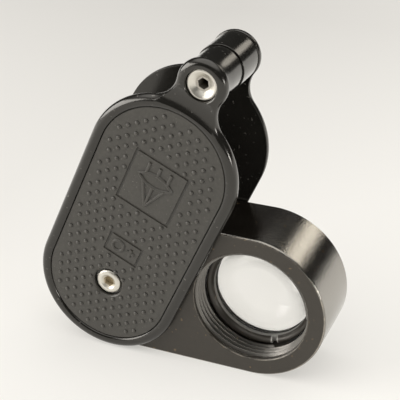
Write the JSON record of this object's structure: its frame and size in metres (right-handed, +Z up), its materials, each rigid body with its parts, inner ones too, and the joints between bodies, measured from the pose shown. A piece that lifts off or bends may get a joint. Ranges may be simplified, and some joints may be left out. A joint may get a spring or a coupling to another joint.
{
  "type": "folding loupe",
  "caption": "Folding pocket loupe: a thick lens holder swings out from between two padded covers on a pivot and stands on its long side.",
  "frame": {"origin": "on the table, under the middle of the whole loupe", "axes": "+X level from the pivot to the lens axis, +Y along the pivot and lens axes from the front cover to the rear cover, +Z up"},
  "size_m": [0.0566, 0.0172, 0.0614],
  "materials": {
    "cover_black": "glossy moulded black with a slightly soft surface",
    "grip_pad": "matte dark warm grey, pressed with rows of small round studs",
    "nickel_steel": "turned steel with a nickel plate",
    "anodised_black": "satin black anodised, turned and milled, worn bright on its edges",
    "lens_glass": "polished optical glass, coated",
    "brass": "turned brass",
    "spring_steel": "pressed spring steel",
    "nylon": "natural nylon sheet"
  },
  "bodies": {
    "case": {"front_cover": "cover_black", "rear_cover": "cover_black", "front_grip_pad": "grip_pad", "rear_grip_pad": "grip_pad", "pivot_screw": "nickel_steel", "pivot_barrel_nut": "nickel_steel", "neck_screw": "nickel_steel", "neck_barrel_nut": "nickel_steel", "front_friction_washer": "nylon", "rear_friction_washer": "nylon"},
    "holder": {"lens_holder": "anodised_black", "pivot_bushing": "brass", "pivot_wave_washer": "spring_steel", "front_retaining_ring": "anodised_black", "rear_retaining_ring": "anodised_black", "lens_cell": "anodised_black", "front_lens_element": "lens_glass", "middle_lens_element": "lens_glass", "rear_lens_element": "lens_glass"}
  },
  "joints": [
    {"name": "holder_pivot", "type": "hinge", "parent": "case", "child": "holder", "pos_m": [-0.014, 0, 0.0143], "axis": [0, -1, 0], "continuous": true}
  ]
}
